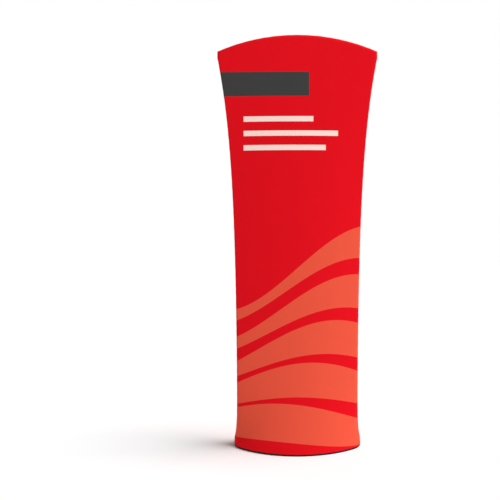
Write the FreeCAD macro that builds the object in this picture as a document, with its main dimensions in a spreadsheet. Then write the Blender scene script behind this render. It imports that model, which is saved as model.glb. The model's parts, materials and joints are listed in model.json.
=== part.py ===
import FreeCAD, Part
import math
import os
import re
import Sketcher

# A free-standing fabric tower: a stretched cover over an arched tube frame on an oval steel base.
# Millimetres, +Z up, origin on the floor under the middle, the printed front faces -Y.

Vector = FreeCAD.Vector
Rotation = FreeCAD.Rotation
Placement = FreeCAD.Placement

# Driving sizes, one cell each.
SIZES = {
    "overall_height": 2000,
    "top_width": 782,
    "arch_rise": 82,
    "neck_width": 582,
    "top_flare": 500,
    "base_width": 613,
    "base_depth": 360,
    "base_end_radius": 105,
    "base_flare": 50,
    "lean_depth": 64,
    "bulge_length": 150,
    "edge_radius": 4,
    "edge_fade": 150,
    "cover_thickness": 1,
    "cover_gap": 0.4,
    "band_height": 26,
    "foot_height": 2,
    "foot_diameter": 30,
    "foot_inset": 42,
    "foot_spread": 290,
    "plate_thickness": 6,
    "layer_gap": 0.3,
    "tape_thickness": 1,
    "tape_width": 10,
    "tape_lift": 1,
    "ring_height": 24,
    "ring_wall": 3,
    "ring_split": 0.4,
    "bracket_leg": 20,
    "bracket_length": 30,
    "bracket_wall": 3,
    "bracket_screw_diameter": 5,
    "bracket_head_diameter": 9,
    "bracket_head_height": 2.5,
    "bracket_rivet_diameter": 4,
    "bracket_rivet_head": 7,
    "bracket_rivet_level": 13,
    "bracket_rivet_spread": 16,
    "upright_inset": 108,
    "tube_diameter": 30,
    "tube_wall": 1.5,
    "spigot_wall": 2,
    "spigot_depth": 75,
    "fit_gap": 0.1,
    "hole_gap": 0.2,
    "socket_diameter": 76,
    "flange_thickness": 6,
    "socket_screw_diameter": 6,
    "socket_screw_circle": 54,
    "socket_screw_length": 11,
    "collar_height": 6,
    "button_diameter": 8,
    "button_offset": 38,
    "button_proud": 2.5,
    "button_dome_radius": 6,
    "leaf_width": 7,
    "leaf_thickness": 0.8,
    "leaf_length": 46,
    "leaf_gap": 1,
    "rivet_diameter": 4.8,
    "rivet_head_diameter": 8.6,
    "rivet_head": 1.2,
    "cap_plug": 18,
    "cap_plug_gap": 0.4,
    "zip_half_length": 190,
    "zip_tape_width": 6.5,
    "zip_tape_thickness": 0.6,
    "zip_tape_gap": 0.5,
    "zip_slit": 1.2,
    "zip_tooth_width": 2.2,
    "zip_tooth_proud": 0.9,
    "zip_slot_margin": 0.4,
    "zip_stop_length": 3,
    "slider_length": 14,
    "slider_width": 10,
    "slider_plate": 1.1,
    "slider_gap": 0.4,
    "slider_blade": 0.8,
    "slider_end_room": 2,
    "bail_bar": 1.6,
    "bail_post": 1.4,
    "pull_width": 6,
    "pull_length": 19,
    "pull_thickness": 1.4,
}

# Sizes that follow from the driving ones.
DERIVED = {
    "tube_radius": "tube_diameter / 2",
    "bore_radius": "tube_radius - tube_wall",
    "spigot_radius": "bore_radius - fit_gap",
    "spigot_bore": "spigot_radius - spigot_wall",
    "plate_top": "foot_height + plate_thickness",
    "hem_level": "plate_top + cover_gap",
    "band_top": "plate_top + band_height",
    "header_half": "tube_radius + cover_gap + cover_thickness",
    "header_bottom": "overall_height - arch_rise - 2 * header_half",
    "crown_radius": "(top_width ^ 2 / 4 + arch_rise ^ 2) / (2 * arch_rise)",
    "arch_radius": "crown_radius - header_half",
    "arch_level": "overall_height - crown_radius",
    "arch_end": "top_width / 2 - header_half",
    "arch_end_level": "arch_level + sqrt(arch_radius ^ 2 - arch_end ^ 2)",
    "end_centre": "base_width / 2 - base_end_radius",
    "end_slack": "base_depth / 2 - base_end_radius",
    "oval_centre": "(end_centre ^ 2 - end_slack ^ 2) / (2 * end_slack)",
    "side_radius": "oval_centre + base_depth / 2",
    "loop_inset": "cover_thickness + layer_gap",
    "hook_inset": "loop_inset + tape_thickness + layer_gap",
    "ring_inset": "hook_inset + tape_thickness + layer_gap",
    "ring_bore_inset": "ring_inset + ring_wall",
    "loop_bore_inset": "loop_inset + tape_thickness",
    "hook_bore_inset": "hook_inset + tape_thickness",
    "side_bore": "side_radius - ring_bore_inset",
    "end_bore": "base_end_radius - ring_bore_inset",
    "side_sag": "side_bore - sqrt(side_bore ^ 2 - bracket_length ^ 2 / 4)",
    "end_sag": "end_bore - sqrt(end_bore ^ 2 - bracket_length ^ 2 / 4)",
    "side_bracket_face": "base_depth / 2 - ring_bore_inset - side_sag - layer_gap",
    "end_bracket_face": "base_width / 2 - ring_bore_inset - end_sag - layer_gap",
    "upright_reach": "base_width / 2 - upright_inset",
    "upright_foot": "plate_top + flange_thickness",
    "stub_reach": "upright_reach + tube_radius",
    "upright_head": "arch_level + sqrt((arch_radius - tube_radius) ^ 2 - stub_reach ^ 2) - collar_height",
    "section_length": "(upright_head - upright_foot) / 3",
    "lower_joint": "upright_foot + section_length",
    "upper_joint": "upright_foot + 2 * section_length",
    "arch_over_stub": "arch_level + sqrt(arch_radius ^ 2 - upright_reach ^ 2)",
    "button_tip": "tube_radius + button_proud",
    "leaf_face": "spigot_bore - leaf_gap",
    "zip_level": "band_top - zip_tape_width - layer_gap",
    "tape_outer": "side_radius - cover_thickness - zip_tape_gap",
    "tape_inner": "tape_outer - zip_tape_thickness",
    "tooth_outer": "side_radius + zip_tooth_proud",
    "tooth_bottom": "zip_level - zip_slit / 2 - zip_tooth_width",
    "slot_half": "zip_slit / 2 + zip_tooth_width + zip_slot_margin",
    "slider_inner": "tape_inner - slider_gap - slider_plate",
    "slider_front": "tooth_outer + slider_gap",
    "slider_face": "slider_front + slider_plate",
    "pull_eye": "bail_bar / 2 + hole_gap + bail_post",
    "bail_axis": "slider_face + pull_eye + slider_gap",
    "slider_reach": "zip_half_length - zip_stop_length - slider_end_room - slider_length / 2",
}

doc = FreeCAD.newDocument("FabricTower")
sheet = doc.addObject("Spreadsheet::Sheet", "Sizes")
for row, (alias, number) in enumerate(SIZES.items(), start=1):
    sheet.set("A%d" % row, alias)
    sheet.set("B%d" % row, str(number))
    sheet.setAlias("B%d" % row, alias)
doc.recompute()


def full(text):
    """Write out an expression with each size under the object that holds it."""
    def owner(match):
        word = match.group(0)
        if word in SIZES:
            return "Sizes." + word
        if word in DERIVED:
            return "Derived." + word
        return word
    return re.sub(r"[a-z_]+", owner, text)


derived = doc.addObject("App::FeaturePython", "Derived")
for name, rule in DERIVED.items():
    derived.addProperty("App::PropertyFloat", name)
for name, rule in DERIVED.items():
    derived.setExpression(name, full(rule))
doc.recompute()


def now(name):
    """The present value of a driving or a derived size."""
    if name in SIZES:
        return float(sheet.get(name))
    return getattr(derived, name)


pieces = []


def piece(solid, node):
    """Name a finished sub-part after its node."""
    solid.Label = node
    pieces.append(solid)
    return solid


def bind(item, **rules):
    for prop, rule in rules.items():
        item.setExpression(prop, full(rule))
    return item


def place(item, x="0", y="0", z="0"):
    for axis, rule in (("x", x), ("y", y), ("z", z)):
        item.setExpression("Placement.Base." + axis, full(rule))
    return item


TURNS = {
    "x": Rotation(Vector(0, 1, 0), 90),
    "y": Rotation(Vector(1, 0, 0), -90),
    "z": Rotation(),
}


def cylinder(name, radius, length, x="0", y="0", z="0", along="z"):
    solid = doc.addObject("Part::Cylinder", name)
    solid.Placement = Placement(Vector(), TURNS[along])
    bind(solid, Radius=radius, Height=length)
    return place(solid, x, y, z)


def cone(name, bottom, top, height, x="0", y="0", z="0"):
    solid = doc.addObject("Part::Cone", name)
    bind(solid, Radius1=bottom, Radius2=top, Height=height)
    return place(solid, x, y, z)


def block(name, length, width, height, x="0", y="0", z="0"):
    """A box centred on x and y, standing on z."""
    solid = doc.addObject("Part::Box", name)
    bind(solid, Length=length, Width=width, Height=height)
    return place(solid, "%s - (%s) / 2" % (x, length), "%s - (%s) / 2" % (y, width), z)


def sphere(name, radius, x="0", y="0", z="0"):
    return place(bind(doc.addObject("Part::Sphere", name), Radius=radius), x, y, z)


def fuse(name, *solids):
    result = doc.addObject("Part::MultiFuse", name)
    result.Shapes = list(solids)
    result.Refine = True
    return result


def cut(name, base, *tools):
    result = doc.addObject("Part::Cut", name)
    result.Base = base
    result.Tool = tools[0] if len(tools) == 1 else group(name + "_tools", *tools)
    return result


def common(name, base, tool):
    result = doc.addObject("Part::Common", name)
    result.Base = base
    result.Tool = tool
    return result


def group(name, *solids):
    result = doc.addObject("Part::Compound", name)
    result.Links = list(solids)
    return result


def mirror(name, source):
    result = doc.addObject("Part::Mirroring", name)
    result.Source = source
    result.Normal = Vector(1, 0, 0)
    return result


def origin_plane(body, role):
    return [item for item in body.Origin.OriginFeatures if item.Role == role][0]


def oval_disc(name, inset, bottom, height):
    """A four-arc oval plate: half of it is sketched and padded, then mirrored."""
    step = now(inset) if inset else 0.0
    body = doc.addObject("PartDesign::Body", name)
    sketch = body.newObject("Sketcher::SketchObject", name + "_half")
    sketch.AttachmentSupport = [(origin_plane(body, "XY_Plane"), "")]
    sketch.MapMode = "FlatFace"
    centre, drop = now("end_centre"), now("oval_centre")
    end, side = now("base_end_radius") - step, now("side_radius") - step
    lean = math.atan2(drop, centre)
    up = Vector(0, 0, 1)
    front = Part.ArcOfCircle(Part.Circle(Vector(0, drop, 0), up, side), -math.pi / 2, -lean)
    nose = Part.ArcOfCircle(Part.Circle(Vector(centre, 0, 0), up, end), -lean, lean)
    back = Part.ArcOfCircle(Part.Circle(Vector(0, -drop, 0), up, side), lean, math.pi / 2)
    split = Part.LineSegment(Vector(0, side - drop, 0), Vector(0, drop - side, 0))
    sketch.addGeometry([front, nose, back, split], False)
    rule = Sketcher.Constraint
    start, finish, middle = 1, 2, 3
    x_axis, y_axis = -1, -2
    for constraint in (
        rule("Tangent", 0, finish, 1, start),
        rule("Tangent", 1, finish, 2, start),
        rule("Coincident", 2, finish, 3, start),
        rule("Coincident", 3, finish, 0, start),
        rule("PointOnObject", 0, middle, y_axis),
        rule("PointOnObject", 2, middle, y_axis),
        rule("PointOnObject", 1, middle, x_axis),
        rule("PointOnObject", 0, start, y_axis),
        rule("PointOnObject", 2, finish, y_axis),
        rule("Equal", 0, 2),
    ):
        sketch.addConstraint(constraint)
    less = " - " + inset if inset else ""
    for label, constraint, size in (
        ("end_centre", rule("DistanceX", -1, 1, 1, middle, centre), "end_centre"),
        ("end_radius", rule("Radius", 1, end), "base_end_radius" + less),
        ("side_radius", rule("Radius", 0, side), "side_radius" + less),
    ):
        sketch.renameConstraint(sketch.addConstraint(constraint), label)
        sketch.setExpression("Constraints." + label, full(size))
    pad = body.newObject("PartDesign::Pad", name + "_pad")
    pad.Profile = sketch
    bind(pad, Length=height)
    mirrored = body.newObject("PartDesign::Mirrored", name + "_whole")
    mirrored.Originals = [pad]
    mirrored.MirrorPlane = (origin_plane(body, "YZ_Plane"), [""])
    body.Tip = mirrored
    return place(body, z=bottom)


def oval_strip(name, outer, inner, bottom, height):
    """An upright strip that runs round the oval."""
    return cut(name, oval_disc(name + "_outside", outer, bottom, height),
               oval_disc(name + "_inside", inner, bottom, height))


# Base: oval steel plate on rubber pads.
def screw_places():
    """The socket screws of one side, on a circle about its upright."""
    for number in range(4):
        angle = math.radians(45 + 90 * number)
        x = "upright_reach + %.6f * socket_screw_circle / 2" % math.cos(angle)
        y = "%.6f * socket_screw_circle / 2" % math.sin(angle)
        yield x, y


def both_sides(places):
    for x, y in places:
        yield x, y
        yield "0 - (%s)" % x, y


def bracket_frames():
    """Where the ring brackets stand: axis, direction, outer face of the leaf and the ring's bow there."""
    yield "front", "y", -1, "side_bracket_face", "side_sag"
    yield "back", "y", 1, "side_bracket_face", "side_sag"
    yield "left", "x", -1, "end_bracket_face", "end_sag"
    yield "right", "x", 1, "end_bracket_face", "end_sag"


def countersunk(name, radius, x, y, length):
    """A flat-head screw driven upwards, its head flush with the underside of the plate."""
    head = "2 * (%s)" % radius
    rise = "(%s)" % radius
    return fuse(name, cone(name + "_head", head, radius, rise, x, y, "foot_height"),
                cylinder(name + "_shank", radius, length, x, y, "foot_height"))


def base():
    socket_places = list(both_sides(screw_places()))
    screw_radius = "socket_screw_diameter / 2"
    screws = []
    holes = []
    for number, (x, y) in enumerate(socket_places):
        screws.append(countersunk("socket_screw_%d" % number, screw_radius, x, y, "socket_screw_length"))
        holes.append(countersunk("socket_screw_hole_%d" % number, screw_radius + " + fit_gap", x, y,
                                 "socket_screw_length + fit_gap"))
    piece(group("socket_screw_set", *screws), "socket_screws")

    legs = []
    leg_screws = []
    leg_holes = []
    rivets = []
    rivet_holes = []
    wall, leg, length = "bracket_wall", "bracket_leg", "bracket_length"
    for name, along, sign, face, bow in bracket_frames():
        across = {"x": "y", "y": "x"}[along]

        def at(distance):
            return {along: "(%d) * (%s)" % (sign, distance)}

        def from_leaf(first, last):
            """Where a rod along the bracket's axis starts, between two distances from the middle."""
            return first if sign > 0 else "0 - (%s)" % last

        wide = {"x": (wall, length), "y": (length, wall)}[along]
        deep = {"x": (leg, length), "y": (length, leg)}[along]
        leaf = block(name + "_bracket_leaf", *wide, leg, z="plate_top", **at("%s - %s / 2" % (face, wall)))
        foot = block(name + "_bracket_foot", *deep, wall, z="plate_top", **at("%s - %s / 2" % (face, leg)))
        spot = at("%s - (%s + %s) / 2" % (face, leg, wall))
        radius = "bracket_screw_diameter / 2"
        depth = "plate_thickness / 2"
        shank = cylinder(name + "_bracket_shank", radius, depth + " + " + wall,
                         z="plate_top - " + depth, **spot)
        head = cylinder(name + "_bracket_head", "bracket_head_diameter / 2", "bracket_head_height",
                        z="plate_top + " + wall, **spot)
        leg_screws.append(fuse(name + "_bracket_screw", shank, head))
        hole = cylinder(name + "_bracket_hole", radius + " + fit_gap", depth + " + fit_gap + " + wall,
                        z="plate_top - fit_gap - " + depth, **spot)
        leg_holes.append(hole)
        inner = "%s - %s" % (face, wall)
        outer = "%s + layer_gap + %s + ring_wall / 2" % (face, bow)
        drills = []
        for step in (-1, 1):
            pin_name = "%s_bracket_rivet_%d" % (name, step + 1)
            line = {"z": "plate_top + bracket_rivet_level", "along": along,
                    across: "(%d) * bracket_rivet_spread / 2" % step}
            pin = cylinder(pin_name + "_pin", "bracket_rivet_diameter / 2", "(%s) - (%s)" % (outer, inner),
                           **line, **{along: from_leaf(inner, outer)})
            cap = cylinder(pin_name + "_cap", "bracket_rivet_head / 2", "rivet_head", **line,
                           **{along: from_leaf(inner + " - rivet_head", inner)})
            rivets.append(fuse(pin_name, pin, cap))
            drills.append(cylinder(pin_name + "_drill", "bracket_rivet_diameter / 2 + fit_gap",
                                   "(%s) - (%s) + fit_gap" % (outer, inner), **line,
                                   **{along: from_leaf(inner, outer + " + fit_gap")}))
        rivet_holes += drills
        legs.append(cut(name + "_bracket", fuse(name + "_bracket_angle", leaf, foot), hole, *drills))
    piece(group("ring_bracket_set", *legs), "ring_brackets")
    piece(group("bracket_screw_set", *leg_screws), "bracket_screws")
    piece(group("ring_rivet_set", *rivets), "ring_rivets")

    plate = oval_disc("plate_blank", "", "foot_height", "plate_thickness")
    piece(cut("plate_drilled", plate, *holes, *leg_holes), "base_plate")

    strip = oval_strip("ring_strip", "ring_inset", "ring_bore_inset", "plate_top", "ring_height")
    drilled = cut("ring_drilled", strip, *rivet_holes)
    for side, sign in (("left", "0 - "), ("right", "")):
        half = block(side + "_ring_side", "base_width", "base_depth", "ring_height * 2",
                     x=sign + "(base_width / 2 + ring_split / 2)", z="plate_top - ring_height / 2")
        piece(common(side + "_ring_half", drilled, half), "base_ring_" + side)
    lift = "plate_top + tape_lift"
    piece(oval_strip("hook_strip", "hook_inset", "hook_bore_inset", lift, "tape_width"), "hook_tape")
    piece(oval_strip("loop_strip", "loop_inset", "loop_bore_inset", lift, "tape_width"), "loop_tape")

    spots = [("0 - (base_width / 2 - foot_inset)", "0"), ("base_width / 2 - foot_inset", "0")]
    for across in ("foot_spread / 2", "0 - foot_spread / 2"):
        for depth in ("1", "0 - 1"):
            spots.append((across, "(%s) * (base_depth / 2 - foot_inset)" % depth))
    pads = [cylinder("foot_%d" % number, "foot_diameter / 2", "foot_height", x, y)
            for number, (x, y) in enumerate(spots)]
    piece(group("foot_set", *pads), "rubber_feet")
    return holes


SIDES = (("left", "0 - upright_reach", 1), ("right", "upright_reach", -1))


def side_hole(name, radius, x, z, inward):
    """A hole drilled into an upright from the side that faces the middle."""
    start = x if inward > 0 else x + " - tube_diameter"
    return cylinder(name, radius, "tube_diameter", x=start, z=z, along="x")


def snap_button(name, x, z, inward):
    """A domed pin on a spring leaf: the leaf lies inside the spigot, the pin locks the tube."""
    pin = cylinder(name + "_pin", "button_diameter / 2", "button_tip - leaf_face", x="leaf_face", along="x")
    dome = sphere(name + "_dome", "button_dome_radius", x="button_tip - button_dome_radius")
    leaf = block(name + "_leaf", "leaf_thickness", "leaf_width", "leaf_length",
                 x="leaf_face - leaf_thickness / 2", z="0 - leaf_length / 2")
    button = fuse(name, common(name + "_domed", pin, dome), leaf)
    turn = Rotation() if inward > 0 else Rotation(Vector(0, 0, 1), 180)
    button.Placement = Placement(Vector(), turn)
    return place(button, x=x, z=z)


def upright(side, x, inward, socket_screw_holes):
    """One upright: base socket, three tube lengths, two connectors and the stub under the arch."""
    button_hole = "button_diameter / 2 + hole_gap"
    rivet_hole = "rivet_diameter / 2 + fit_gap"
    joints = {
        "base": "upright_foot + button_offset",
        "lower": "lower_joint + button_offset",
        "upper": "upper_joint + button_offset",
        "top": "upright_head - button_offset",
    }
    holes = {}
    for joint, z in joints.items():
        holes[joint] = side_hole("%s_%s_button_hole" % (side, joint), button_hole, x, z, inward)
        piece(snap_button("%s_%s_snap" % (side, joint), x, z, inward), "%s_%s_button" % (side, joint))
    rivet_levels = {"lower": "lower_joint - button_offset", "upper": "upper_joint - button_offset"}
    rivets = []
    for joint, z in rivet_levels.items():
        name = "%s_%s_rivet" % (side, joint)
        holes[joint + "_rivet"] = side_hole(name + "_hole", rivet_hole, x, z, inward)
        reach = "tube_radius - spigot_bore + rivet_head"
        start = "spigot_bore - rivet_head / 2"
        shank = cylinder(name + "_shank", "rivet_diameter / 2", reach, x=start, along="x")
        head = cylinder(name + "_head", "rivet_head_diameter / 2", "rivet_head", x="tube_radius", along="x")
        rivet = fuse(name, shank, head)
        rivet.Placement = Placement(Vector(), Rotation() if inward > 0 else Rotation(Vector(0, 0, 1), 180))
        rivets.append(place(rivet, x=x, z=z))

    def column(name, outer, inner, z, length, *drills):
        return cut(name, cylinder(name + "_outside", outer, length, x=x, z=z),
                   cylinder(name + "_bore", inner, length, x=x, z=z), *drills)

    lengths = (
        ("lower", "upright_foot", ("base", "lower_rivet")),
        ("middle", "lower_joint", ("lower", "upper_rivet")),
        ("upper", "upper_joint", ("upper", "top")),
    )
    for part, z, drills in lengths:
        name = "%s_%s_tube" % (side, part)
        pipe = column(name + "_drilled", "tube_radius", "bore_radius", z, "section_length",
                      *[holes[drill] for drill in drills])
        piece(pipe, name)
    for joint in ("lower", "upper"):
        name = "%s_%s_connector" % (side, joint)
        pipe = column(name + "_drilled", "spigot_radius", "spigot_bore", joint + "_joint - spigot_depth",
                      "2 * spigot_depth", holes[joint], holes[joint + "_rivet"])
        piece(pipe, name)

    flange = cylinder(side + "_flange", "socket_diameter / 2", "flange_thickness", x=x, z="plate_top")
    spigot = cylinder(side + "_spigot", "spigot_radius", "flange_thickness + spigot_depth", x=x,
                      z="plate_top")
    bore = cylinder(side + "_socket_bore", "spigot_bore", "spigot_depth + fit_gap", x=x, z="upright_foot")
    socket = cut(side + "_socket_drilled", fuse(side + "_socket_blank", flange, spigot), bore, holes["base"],
                 *socket_screw_holes)
    piece(socket, side + "_socket")

    stub = cylinder(side + "_stub_rod", "spigot_radius", "arch_over_stub - upright_head + spigot_depth", x=x,
                    z="upright_head - spigot_depth")
    collar = cylinder(side + "_stub_collar", "tube_radius", "collar_height + tube_radius", x=x,
                      z="upright_head")
    bore = cylinder(side + "_stub_bore", "spigot_bore", "spigot_depth + collar_height", x=x,
                    z="upright_head - spigot_depth")
    stub = cut(side + "_stub_coped", fuse(side + "_stub_blank", stub, collar), arch_blank("fit_gap", side),
               bore, holes["top"])
    piece(stub, side + "_arch_stub")
    return rivets


def arch_blank(extra, name):
    """The bent rod of the arch's outer size, from end to end."""
    ring = doc.addObject("Part::Torus", name + "_arch_rod")
    bind(ring, Radius1="arch_radius", Radius2="tube_radius + " + extra)
    bind(ring, Angle3="2 * asin(arch_end / arch_radius)")
    return arch_turn(ring)


def arch_turn(ring):
    """Stand a swept ring upright about the arch's centre, even about the middle plane."""
    sweep = math.degrees(math.asin(now("arch_end") / now("arch_radius")))
    upright_turn = Rotation(Vector(1, 1, 1), -120)
    ring.Placement = Placement(Vector(), Rotation(Vector(0, 1, 0), -sweep).multiply(upright_turn))
    return place(ring, z="arch_level")


def arch():
    bore = doc.addObject("Part::Torus", "arch_bore")
    bind(bore, Radius1="arch_radius", Radius2="bore_radius")
    bind(bore, Angle3="2 * asin(arch_end / arch_radius)")
    piece(cut("arch_hollow", arch_blank("0", "tube"), arch_turn(bore)), "arch_tube")
    sweep = math.degrees(math.asin(now("arch_end") / now("arch_radius")))
    caps = {}
    dome = sphere("cap_dome", "tube_radius")
    half = cylinder("cap_half", "tube_radius", "tube_radius")
    plug = cylinder("cap_plug_rod", "bore_radius - cap_plug_gap", "cap_plug", z="0 - cap_plug")
    caps["right"] = fuse("cap_right", common("cap_head", dome, half), plug)
    caps["right"].Placement = Placement(Vector(), Rotation(Vector(0, 1, 0), 90 + sweep))
    place(caps["right"], x="arch_end", z="arch_end_level")
    caps["left"] = mirror("cap_left", caps["right"])
    for side, cap in caps.items():
        piece(cap, side + "_end_cap")


NEARLY_NOTHING = 1e-6


# Cover: every section is an oval of two end arcs and two side arcs.
def oval_wire(half_width, half_depth, end_radius, z):
    centre = half_width - end_radius
    slack = half_depth - end_radius
    flat = slack < NEARLY_NOTHING
    drop = 0.0 if flat else (centre ** 2 - slack ** 2) / (2 * slack)
    lean = math.pi / 2 if flat else math.atan2(drop, centre)
    tip = Vector(half_width, 0, z)
    knee = Vector(centre + end_radius * math.cos(lean), end_radius * math.sin(lean), z)
    middle = Vector(centre + end_radius * math.cos(lean / 2), end_radius * math.sin(lean / 2), z)

    def corner(point, x_sign, y_sign):
        return Vector(point.x * x_sign, point.y * y_sign, z)

    edges = []
    for y_sign, order in ((-1, (1, -1)), (1, (-1, 1))):
        first, last = order
        edges.append(Part.Arc(corner(tip, first, y_sign), corner(middle, first, y_sign),
                              corner(knee, first, y_sign)).toShape())
        if flat:
            edges.append(Part.LineSegment(corner(knee, first, y_sign), corner(knee, last, y_sign)).toShape())
        else:
            edges.append(Part.Arc(corner(knee, first, y_sign), Vector(0, y_sign * half_depth, z),
                                  corner(knee, last, y_sign)).toShape())
        edges.append(Part.Arc(corner(knee, last, y_sign), corner(middle, last, y_sign),
                              corner(tip, last, y_sign)).toShape())
    return Part.Wire(edges)


def cover_section(z):
    """Half width, half depth and end radius of the stretched cover at a height."""
    bottom, top = now("band_top"), now("header_bottom")
    part = (z - bottom) / (top - bottom)
    neck, head, foot = now("neck_width") / 2, now("top_width") / 2, now("base_width") / 2
    spread = (head - neck) * math.exp((z - top) / now("top_flare"))
    rest = foot - neck - (head - neck) * math.exp((bottom - top) / now("top_flare"))
    half_width = neck + spread + rest * math.exp((bottom - z) / now("base_flare"))
    header, deep = now("header_half"), now("base_depth") / 2
    swell = (deep - header - now("lean_depth")) * math.exp((bottom - z) / now("bulge_length"))
    half_depth = header + (1 - part) * (now("lean_depth") + swell)
    free = now("edge_radius")
    bend = (now("base_end_radius") - free) * foot / deep ** 2
    hold = header - free - bend * header ** 2 / head
    end_radius = free + bend * half_depth ** 2 / half_width + hold * math.exp((z - top) / now("edge_fade"))
    return half_width, half_depth, end_radius


PAST_THE_CORNERS = 1.15
SECTIONS = (0, 0.02, 0.05, 0.1, 0.17, 0.27, 0.4, 0.55, 0.7, 0.82, 0.91, 0.96, 0.985)


def cover_solid(inset, below):
    """The filled form of the cover, drawn in all round by an inset."""
    bottom, top = now("band_top"), now("header_bottom")
    foot = (now("base_width") / 2 - inset, now("base_depth") / 2 - inset, now("base_end_radius") - inset)
    hem = now("hem_level") - below
    band = Part.Face(oval_wire(*foot, hem)).extrude(Vector(0, 0, bottom - hem))
    wires = []
    for share in SECTIONS:
        z = bottom + share * (top - bottom)
        sizes = [size - inset for size in cover_section(z)] if share else foot
        wires.append(oval_wire(*sizes, z))
    half = now("header_half") - inset
    reach = now("top_width") / 2 - inset
    wires.append(oval_wire(reach, half, half, top))
    body = Part.makeLoft(wires, True, False)
    level, radius = now("arch_level"), now("arch_radius")
    deep = level + radius - top + half
    low, high = level + radius - deep, level + radius
    outline = [
        Part.LineSegment(Vector(0, -half, low), Vector(0, -half, high)).toShape(),
        Part.Arc(Vector(0, -half, high), Vector(0, -half * math.sqrt(0.5), high + half * math.sqrt(0.5)),
                 Vector(0, 0, high + half)).toShape(),
        Part.Arc(Vector(0, 0, high + half), Vector(0, half * math.sqrt(0.5), high + half * math.sqrt(0.5)),
                 Vector(0, half, high)).toShape(),
        Part.LineSegment(Vector(0, half, high), Vector(0, half, low)).toShape(),
        Part.LineSegment(Vector(0, half, low), Vector(0, -half, low)).toShape(),
    ]
    sweep = math.degrees(math.asin(now("top_width") / 2 / radius)) * PAST_THE_CORNERS
    slab = Part.Face(Part.Wire(outline)).revolve(Vector(0, 0, level), Vector(0, 1, 0), 2 * sweep)
    slab.rotate(Vector(0, 0, level), Vector(0, 1, 0), -sweep)
    header = Part.Face(oval_wire(reach, half, half, top)).extrude(Vector(0, 0, now("overall_height") - top))
    header = header.common(slab)
    return band.fuse([body, header])


def arc_strip(name, inner, outer, bottom, height, start, finish):
    """A strip that follows the rear arc of the base, between two distances from the middle plane."""
    ring = cut(name + "_ring", cylinder(name + "_outside", outer, height, y="0 - oval_centre", z=bottom),
               cylinder(name + "_inside", inner, height, y="0 - oval_centre", z=bottom))
    length = "(%s) - (%s)" % (finish, start)
    centre = "((%s) + (%s)) / 2" % (start, finish)
    window = block(name + "_window", length, "side_radius", "(%s) * 3" % height, x=centre,
                   y="side_radius / 2", z="%s - (%s)" % (bottom, height))
    return common(name, ring, window)


def cover():
    outside = cover_solid(0, 0)
    inside = cover_solid(now("cover_thickness"), now("hem_level"))
    shell = outside.cut(inside)
    reach, height = now("top_width"), now("overall_height") * 2
    front_half = Part.makeBox(2 * reach, reach, height, Vector(-reach, -reach, -height / 4))
    rear_half = Part.makeBox(2 * reach, reach, height, Vector(-reach, 0, -height / 4))
    front = doc.addObject("Part::Feature", "front_cloth")
    front.Shape = shell.common(front_half)
    piece(front, "front_panel")
    rear = doc.addObject("Part::Feature", "rear_cloth")
    rear.Shape = shell.common(rear_half)
    slot = arc_strip("zip_slot", "side_radius - cover_thickness * 2", "side_radius + cover_thickness",
                     "zip_level - slot_half", "2 * slot_half", "0 - zip_half_length - zip_slot_margin",
                     "zip_half_length + zip_slot_margin")
    piece(cut("rear_slotted", rear, slot), "back_panel")


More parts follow.
